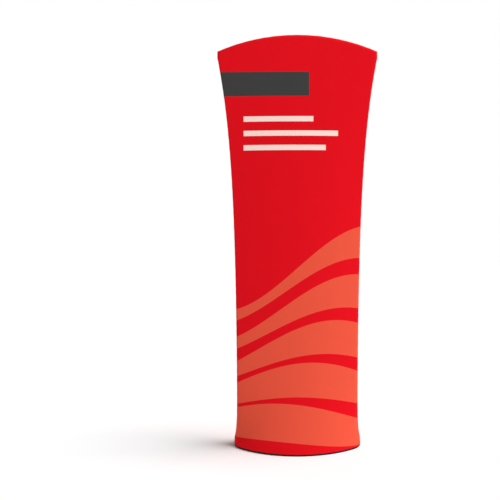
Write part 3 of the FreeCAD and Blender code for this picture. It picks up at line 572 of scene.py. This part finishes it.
# coil of the zip: two rows of rounded loops that mesh, each half a pitch on from the other
def addTeeth(material):
    bm = bmesh.new()
    out = cover["baseHalfDepth"] + zipper["toothOut"]
    sides, rings = zipper["toothSides"]
    size = Matrix.Diagonal([half * mm for half in zipper["toothSize"]] + [1])
    for row in (-1, 1):
        level = zipper["level"] + row * zipper["rowOffset"]
        place = Matrix.Translation((row * zipper["toothPitch"] / 4 * mm, out * mm, level * mm))
        lean = Matrix.Rotation(math.radians(row * zipper["toothLean"]), 4, "Y")
        bmesh.ops.create_uvsphere(bm, u_segments=sides, v_segments=rings, radius=1,
                                  matrix=place @ lean @ size)
    steps = stepsAlongTheRear(zipper["toothHalfRun"], zipper["toothPitch"])
    alongTheRear(bm, everything(bm), zipper["toothHalfRun"], steps, True)
    piece = newPiece("zip_coil", bm, material, "tower")
    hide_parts("zip_teeth")


def addZipTape(material):
    bm = bmesh.new()
    near, far = zipper["tapeOut"]
    low, high = zipper["tapeRise"]
    out = cover["baseHalfDepth"] + (near + far) / 2
    size = Matrix.Diagonal((1, (far - near) * mm, (high - low) * mm, 1))
    stand = Matrix.Rotation(math.pi / 2, 4, "Y")
    for row in (-1, 1):
        level = zipper["level"] + row * (low + high) / 2
        place = Matrix.Translation((0, out * mm, level * mm)) @ size @ stand
        bmesh.ops.create_grid(bm, x_segments=zipper["tapeStrips"], y_segments=1, size=0.5, matrix=place)
    alongTheRear(bm, everything(bm), zipper["tapeHalfRun"], zipper["tapeSteps"], False)
    bmesh.ops.recalc_face_normals(bm, faces=bm.faces)
    piece = newPiece("zip_band", bm, material, "tower", smooth=False)
    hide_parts("zip_tape")


# the slider's own axes at rest: along the zip, out of the cloth, up; the origin is on the bail
def sliderPlace():
    swing = joints["pull_swing"]
    along, up = Vector(swing["axis"]), Vector((0, 0, 1))
    turn = Matrix((along, up.cross(along), up)).transposed()
    return Matrix.Translation(swing["pos_m"]) @ turn.to_4x4()


def joinInto(bm, part):
    mesh = bpy.data.meshes.new("part")
    part.to_mesh(mesh)
    part.free()
    bm.from_mesh(mesh)
    bpy.data.meshes.remove(mesh)


# rounding of small cast parts: edges count as sharp above an angle, faces as facing an axis above a share
rounding = {"sharpAngle": 40, "edgeSteps": 2, "cornerSteps": 6, "facing": 0.99}


def roundSharpEdges(bm, width):
    limit = math.radians(rounding["sharpAngle"])
    sharp = [edge for edge in bm.edges if edge.is_manifold and edge.calc_face_angle() > limit]
    bmesh.ops.bevel(bm, geom=sharp, offset=width * mm, affect="EDGES", segments=rounding["edgeSteps"],
                    profile=0.5, material=-1)


# a block whose corners, seen from the front, can be rounded before all its edges are eased;
# the taper narrows one end
def easedBlock(size, centre, edgeRound, corner=0, taper=1.0, lowerOnly=False):
    bm = bmesh.new()
    middle = Vector(centre) * mm
    sized = Matrix.Translation(middle) @ Matrix.Diagonal([value * mm for value in size] + [1])
    bmesh.ops.create_cube(bm, size=1, matrix=sized)
    for vert in bm.verts:
        if vert.co.x < middle.x:
            vert.co.z = middle.z + (vert.co.z - middle.z) * taper
    if corner:
        corners = [edge for edge in bm.edges
                   if abs(edge.verts[0].co.y - edge.verts[1].co.y) > size[1] / 2 * mm]
        if lowerOnly:
            corners = [edge for edge in corners if edge.verts[0].co.z < middle.z]
        bmesh.ops.bevel(bm, geom=corners, offset=corner * mm, affect="EDGES",
                        segments=rounding["cornerSteps"], profile=0.5, material=-1)
    roundSharpEdges(bm, edgeRound)
    return bm


# bail: one bent wire, up from the plate, across and down again
def bailWire(start):
    bm = bmesh.new()
    half, bend, radius = zipper["bailHalf"], zipper["bailBend"], zipper["bailRadius"]
    stand = Matrix.Translation((-half * mm, start * mm, 0)) @ Matrix.Rotation(math.pi / 2, 4, "X")
    bmesh.ops.create_circle(bm, segments=zipper["bailSides"], radius=radius * mm, matrix=stand)
    rise, across = -bend - start, 2 * (half - bend)
    stretches = [((0, rise, 0), 0, 0), ((0, 0, 0), -math.pi / 2, bend - half), ((across, 0, 0), 0, 0),
                 ((0, 0, 0), -math.pi / 2, half - bend), ((0, -rise, 0), 0, 0)]
    geom = everything(bm)
    for step, turn, x in stretches:
        geom = bmesh.ops.spin(bm, geom=geom, cent=(x * mm, -bend * mm, 0), axis=(0, 0, 1), angle=turn,
                              dvec=[value * mm for value in step],
                              steps=zipper["bendSteps"] if turn else 1)["geom_last"]
    bmesh.ops.recalc_face_normals(bm, faces=bm.faces)
    return bm


# slider: two tapered plates on a blade, flanges that hug the coil, and the bail
def addSlider(material):
    bm = bmesh.new()
    length, width, thick = zipper["plateLength"], zipper["plateWidth"], zipper["plateThick"]
    inner, outer = (out + thick / 2 - zipper["axisOut"] for out in zipper["plateOut"])
    for middle in (inner, outer):
        joinInto(bm, easedBlock((length, thick, width), (0, middle, 0), zipper["edgeRound"],
                                zipper["plateCorner"], zipper["plateTaper"]))
    joinInto(bm, easedBlock((zipper["bladeLength"], outer - inner, zipper["bladeHeight"]),
                            (0, (inner + outer) / 2, 0), zipper["edgeRound"] / 2))
    flange, drop = zipper["flangeThick"], zipper["flangeDrop"]
    size = (zipper["flangeLength"], drop + thick / 2, flange)
    for side in (-1, 1):
        place = (zipper["flangeAhead"], outer - thick / 4 - drop / 2, side * (width - flange) / 2)
        joinInto(bm, easedBlock(size, place, zipper["edgeRound"]))
    joinInto(bm, bailWire(outer))
    bmesh.ops.transform(bm, matrix=sliderPlace(), verts=bm.verts)
    piece = newPiece("slider_body", bm, material, "zip_slider")
    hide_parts("zip_slider")


# the pull's eye: a ring round the bail
def pullEye():
    bm = bmesh.new()
    half = zipper["pullHalf"]
    across = Matrix.Translation((-half * mm, 0, 0)) @ Matrix.Rotation(math.pi / 2, 4, "Y")
    for radius in (zipper["eyeOuter"], zipper["eyeInner"]):
        bmesh.ops.create_circle(bm, segments=zipper["eyeSides"], radius=radius * mm, matrix=across)
    bmesh.ops.bridge_loops(bm, edges=bm.edges[:])
    made = bmesh.ops.extrude_face_region(bm, geom=bm.faces[:])["geom"]
    bmesh.ops.translate(bm, verts=vertsIn(made), vec=(2 * half * mm, 0, 0))
    bmesh.ops.recalc_face_normals(bm, faces=bm.faces)
    roundSharpEdges(bm, zipper["pullRound"])
    return bm


# pull: a tab with a raised rim and grip ribs, hung from its eye
def addPull(material):
    half, thick, top = zipper["pullHalf"], zipper["pullThick"], zipper["pullTop"]
    tip = -zipper["pullLength"] - half
    bm = easedBlock((2 * half, thick, top - tip), (0, 0, (top + tip) / 2), zipper["pullRound"],
                    zipper["pullCorner"], lowerOnly=True)
    flats = [face for face in bm.faces
             if abs(face.normal.y) > rounding["facing"] and face.calc_area() > (half * mm) ** 2]
    bmesh.ops.inset_individual(bm, faces=flats, thickness=zipper["rimWidth"] * mm,
                               depth=-zipper["rimDepth"] * mm)
    for rib in range(zipper["ribs"]):
        place = (0, thick / 2 - zipper["rimDepth"], rib * zipper["ribPitch"] - zipper["pullLength"])
        joinInto(bm, easedBlock(zipper["ribSize"], place, zipper["ribRound"]))
    joinInto(bm, pullEye())
    bmesh.ops.transform(bm, matrix=sliderPlace(), verts=bm.verts)
    piece = newPiece("pull_tab", bm, material, "zip_pull")
    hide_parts("zip_pull")


# stops: one crimped clip on each tape at both ends, joined by a bridge at the end where the zip starts
def addStops(material):
    bm = bmesh.new()
    centre = Matrix.Translation((0, zipper["arcCentre"] * mm, 0))
    outwards = Matrix.Translation((0, (rearRadius + zipper["stopOut"]) * mm, zipper["level"] * mm))
    for end in (-1, 1):
        clips = bmesh.new()
        for row in (-1, 1):
            place = (0, 0, row * zipper["stopRow"])
            joinInto(clips, easedBlock(zipper["stopSize"], place, zipper["stopRound"]))
        if end < 0:
            joinInto(clips, easedBlock(zipper["bridgeSize"], (0, 0, 0), zipper["stopRound"]))
        turn = Matrix.Rotation(-end * math.asin(zipper["stopRun"] / rearRadius), 4, "Z")
        bmesh.ops.transform(clips, matrix=centre @ turn @ outwards, verts=clips.verts)
        joinInto(bm, clips)
    piece = newPiece("zip_clips", bm, material, "tower")
    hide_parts("zip_stops")


# hook and loop tapes round the rim inside the hem; millimetres
gripTape = {"thick": 1.0, "corner": 0.3, "cornerSteps": 2, "pitch": 10}


def addGripTape(name, node, material):
    low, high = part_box(node)
    thick = gripTape["thick"] * mm
    centre = Vector((0, low.y + thick / 2, (low.z + high.z) / 2))
    bm = bmesh.new()
    flat = Matrix.Diagonal((1, thick / math.sqrt(2), (high.z - low.z) / math.sqrt(2), 1))
    stand = Matrix.Rotation(math.pi / 2, 4, "Y") @ Matrix.Rotation(math.pi / 4, 4, "Z")
    bmesh.ops.create_circle(bm, segments=4, radius=1, matrix=Matrix.Translation(centre) @ flat @ stand)
    bmesh.ops.bevel(bm, geom=bm.verts[:], offset=gripTape["corner"] * mm, affect="VERTICES",
                    segments=gripTape["cornerSteps"], profile=0.5, material=-1)
    roundTheBase(bm, everything(bm), gripTape["pitch"], False)
    bmesh.ops.remove_doubles(bm, verts=bm.verts, dist=weld)
    bmesh.ops.recalc_face_normals(bm, faces=bm.faces)
    piece = newPiece(name, bm, material, "tower", smooth=False)
    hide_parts(node)


# feet: moulded rubber pads with an eased edge and a ring groove underneath; millimetres
foot = {
    "radius": 15, "edge": 0.5, "grooveOuter": 11, "grooveInner": 9, "grooveDepth": 0.5, "sides": 40,
    "inset": 42, "spread": 290,
}


def addFeet(material):
    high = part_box("rubber_feet")[1].z / mm
    radius, edge, depth = foot["radius"], foot["edge"], foot["grooveDepth"]
    outer, inner = foot["grooveOuter"], foot["grooveInner"]
    outline = [(0, high), (radius - edge / 2, high), (radius, high - edge / 2), (radius, edge),
               (radius - edge, 0), (outer, 0), (outer - depth, depth), (inner + depth, depth),
               (inner, 0), (0, 0)]
    bm = bmesh.new()
    points = [bm.verts.new((r * mm, 0, z * mm)) for r, z in outline]
    for first, second in zip(points, points[1:]):
        bm.edges.new((first, second))
    bmesh.ops.spin(bm, geom=everything(bm), cent=(0, 0, 0), axis=(0, 0, 1), angle=2 * math.pi,
                   steps=foot["sides"], use_merge=True)
    bmesh.ops.remove_doubles(bm, verts=bm.verts, dist=weld)
    bmesh.ops.recalc_face_normals(bm, faces=bm.faces)
    ends, sides = cover["baseHalf"] - foot["inset"], cover["baseHalfDepth"] - foot["inset"]
    spots = [(x * foot["spread"] / 2, y * sides) for x in (-1, 1) for y in (-1, 1)]
    spots += [(-ends, 0), (ends, 0)]
    repeatAt(bm, [(x * mm, y * mm, 0) for x, y in spots])
    piece = newPiece("foot_pads", bm, material, "tower", smooth=False)
    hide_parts("rubber_feet")


# countersunk screws with a hex socket, driven up through the plate into the flanges; millimetres
screw = {
    "circleRadius": 27, "perFlange": 4, "headRadius": 6, "shankRadius": 3, "countersink": 3,
    "hexRadius": 2.3, "hexDepth": 2.6, "corners": 24,
}


# pulls a ring of edges up into a wall, to a new radius, and gives the edges at its far end
def pullRing(bm, ring, rise, grow):
    made = bmesh.ops.extrude_edge_only(bm, edges=ring)["geom"]
    bmesh.ops.scale(bm, vec=(grow, grow, 1), verts=vertsIn(made))
    bmesh.ops.translate(bm, vec=(0, 0, rise * mm), verts=vertsIn(made))
    return [item for item in made if isinstance(item, bmesh.types.BMEdge)]


def addScrews(material):
    low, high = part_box("socket_screws")
    bm = bmesh.new()
    bmesh.ops.create_circle(bm, segments=6, radius=screw["hexRadius"] * mm)
    bmesh.ops.subdivide_edges(bm, edges=bm.edges[:], cuts=screw["corners"] // 6 - 1)
    hexEdges = bm.edges[:]
    bmesh.ops.create_circle(bm, segments=screw["corners"], radius=screw["headRadius"] * mm)
    headEdges = [edge for edge in bm.edges if edge not in hexEdges]
    bmesh.ops.bridge_loops(bm, edges=hexEdges + headEdges)
    floorEdges = pullRing(bm, hexEdges, screw["hexDepth"], 1)
    coneEdges = pullRing(bm, headEdges, screw["countersink"], screw["shankRadius"] / screw["headRadius"])
    tipEdges = pullRing(bm, coneEdges, (high.z - low.z) / mm - screw["countersink"], 1)
    for ring in (floorEdges, tipEdges):
        bmesh.ops.edgeloop_fill(bm, edges=ring)
    bmesh.ops.recalc_face_normals(bm, faces=bm.faces)
    places = []
    for flange in ("left_socket", "right_socket"):
        near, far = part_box(flange)
        for number in range(screw["perFlange"]):
            angle = (number + 0.5) * 2 * math.pi / screw["perFlange"]
            reach = Vector((math.cos(angle), math.sin(angle), 0)) * screw["circleRadius"] * mm
            places.append(Vector(((near.x + far.x) / 2, 0, low.z)) + reach)
    repeatAt(bm, places)
    piece = newPiece("screw_set", bm, material, "tower", smooth=False)
    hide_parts("socket_screws")


# finishes: two tones in slow clouds, and a grain, drawn out along an axis, that drives roughness and
# bump; clouds and grain in millimetres
finishes = {
    # extruded aluminium, satin anodised: cool grey, faint draw lines along the tube
    "tube_aluminium": {"tones": ("#B3B6BA", "#D0D2D5"), "metal": 1.0, "rough": (0.28, 0.44), "grain": 0.7,
                       "drawn": (1, 1, 0.02), "bump": 0.12, "clouds": 70},
    # mill-finish aluminium: rolled strip, duller, with lines across its height
    "mill_aluminium": {"tones": ("#A6A8AA", "#C4C6C8"), "metal": 1.0, "rough": (0.34, 0.52), "grain": 0.8,
                       "drawn": (0.03, 0.03, 1), "bump": 0.12, "clouds": 50},
    # aluminium rivets: tumbled, softly dented
    "rivet_aluminium": {"tones": ("#B0B1B3", "#CACBCD"), "metal": 1.0, "rough": (0.3, 0.46), "grain": 1.2,
                        "drawn": (1, 1, 1), "bump": 0.2, "clouds": 6},
    # zinc-plated steel: bright, with blue and straw clouds of passivation
    "zinc_steel": {"tones": ("#AFB8C4", "#CBC8B6"), "metal": 1.0, "rough": (0.24, 0.4), "grain": 0.9,
                   "drawn": (1, 1, 1), "bump": 0.08, "clouds": 8},
    # spring steel: rolled strip, darker, with fine lines along the leaf
    "spring_steel": {"tones": ("#8E9195", "#A9ACB0"), "metal": 1.0, "rough": (0.22, 0.36), "grain": 0.5,
                     "drawn": (1, 1, 0.04), "bump": 0.08, "clouds": 12},
    # powder-coated steel: soft black with an orange-peel skin
    "coated_steel": {"tones": ("#0D0B0A", "#171413"), "metal": 0.0, "rough": (0.42, 0.62), "grain": 1.4,
                     "drawn": (1, 1, 1), "bump": 0.3, "clouds": 45, "shine": 0.1},
    # moulded rubber: dull black-grey, fine mould grain
    "foot_rubber": {"tones": ("#161616", "#222223"), "metal": 0.0, "rough": (0.7, 0.88), "grain": 0.6,
                    "drawn": (1, 1, 1), "bump": 0.3, "clouds": 15},
    # moulded nylon: black, spark-eroded grain
    "cap_plastic": {"tones": ("#151515", "#1F1F20"), "metal": 0.0, "rough": (0.42, 0.6), "grain": 0.5,
                    "drawn": (1, 1, 1), "bump": 0.25, "clouds": 20},
    # woven nylon hooks: a stiff pile, drawn twice as coarse as it is
    "hook_tape": {"tones": ("#0E0E0F", "#242426"), "metal": 0.0, "rough": (0.5, 0.8), "grain": 1.6,
                  "drawn": (1, 1, 1), "bump": 0.9, "clouds": 3},
    # brushed nylon loops: a soft fuzzy nap
    "loop_tape": {"tones": ("#131313", "#2A2A2C"), "metal": 0.0, "rough": (0.85, 1.0), "grain": 0.9,
                  "drawn": (1, 1, 1), "bump": 0.7, "clouds": 4},
    # woven polyester tape, dyed to the cloth: fine ribs along its length
    "zip_tape": {"tones": ("#8A0C16", "#A3121D"), "metal": 0.0, "rough": (0.75, 0.92), "grain": 0.6,
                 "drawn": (0.1, 0.1, 1), "bump": 0.5, "clouds": 12},
    # polyester coil, dyed to the cloth: smooth drawn plastic
    "zip_teeth": {"tones": ("#8F0D17", "#B01522"), "metal": 0.0, "rough": (0.28, 0.42), "grain": 0.5,
                  "drawn": (1, 1, 1), "bump": 0.05, "clouds": 9},
    # die-cast zinc, black nickel plated: dark mirror with worn lighter patches
    "zip_metal": {"tones": ("#3A3B3E", "#5A5B5E"), "metal": 1.0, "rough": (0.2, 0.36), "grain": 0.8,
                  "drawn": (1, 1, 1), "bump": 0.06, "clouds": 5},
    # spun polyester sewing thread: matt, a shade darker than the cloth
    "sewing_thread": {"tones": ("#BE0F1A", "#D22630"), "metal": 0.0, "rough": (0.7, 0.88), "grain": 0.3,
                      "drawn": (1, 1, 1), "bump": 0.4, "clouds": 2, "shine": 0.12},
}
# what holds where a finish says no more; the height is a share of the grain
plain = {"shine": 0.5, "cloudDetail": 3, "grainDetail": 2, "grainHeight": 0.2}


def surfaceFinish(name):
    finish = finishes[name]
    material, tree, shader = newMaterial(name, Metallic=finish["metal"],
                                         Specular_IOR_Level=finish.get("shine", plain["shine"]))
    place = addNode(tree, "ShaderNodeTexCoord").outputs["Object"]
    slow = addNode(tree, "ShaderNodeTexNoise", {"Vector": place, "Scale": 1 / (finish["clouds"] * mm),
                                                "Detail": plain["cloudDetail"]})
    first, second = (paint(tone) for tone in finish["tones"])
    colour = addNode(tree, "ShaderNodeMix", {"Factor": slow.outputs[0], 6: first, 7: second},
                     data_type="RGBA")
    drawn = addNode(tree, "ShaderNodeMapping", {"Vector": place, "Scale": finish["drawn"]})
    fine = addNode(tree, "ShaderNodeTexNoise", {"Vector": drawn.outputs[0], "Detail": plain["grainDetail"],
                                                "Scale": 1 / (finish["grain"] * mm)})
    smooth, dull = finish["rough"]
    gloss = addNode(tree, "ShaderNodeMapRange", {"Value": fine.outputs[0], "To Min": smooth,
                                                 "To Max": dull})
    skin = addNode(tree, "ShaderNodeBump", {"Height": fine.outputs[0], "Strength": finish["bump"],
                                            "Distance": plain["grainHeight"] * finish["grain"] * mm})
    tree.links.new(colour.outputs[2], shader.inputs["Base Color"])
    tree.links.new(gloss.outputs[0], shader.inputs["Roughness"])
    tree.links.new(skin.outputs[0], shader.inputs["Normal"])
    return material


surfaces = {name: surfaceFinish(name) for name in finishes}
addStitches(surfaces["sewing_thread"])
addTeeth(surfaces["zip_teeth"])
addZipTape(surfaces["zip_tape"])
addSlider(surfaces["zip_metal"])
addPull(surfaces["zip_metal"])
addStops(surfaces["zip_metal"])
addGripTape("hook_strip", "hook_tape", surfaces["hook_tape"])
addGripTape("loop_strip", "loop_tape", surfaces["loop_tape"])
addFeet(surfaces["foot_rubber"])
addScrews(surfaces["zinc_steel"])
print("zip, stitches, tapes, feet and screws ready")

for subpart in frame["record"]["subparts"]:
    if subpart["material_slot"] in surfaces:
        mesh = frame["nodes"][subpart["node"]].data
        mesh.materials.clear()
        mesh.materials.append(surfaces[subpart["material_slot"]])
print("frame finished")
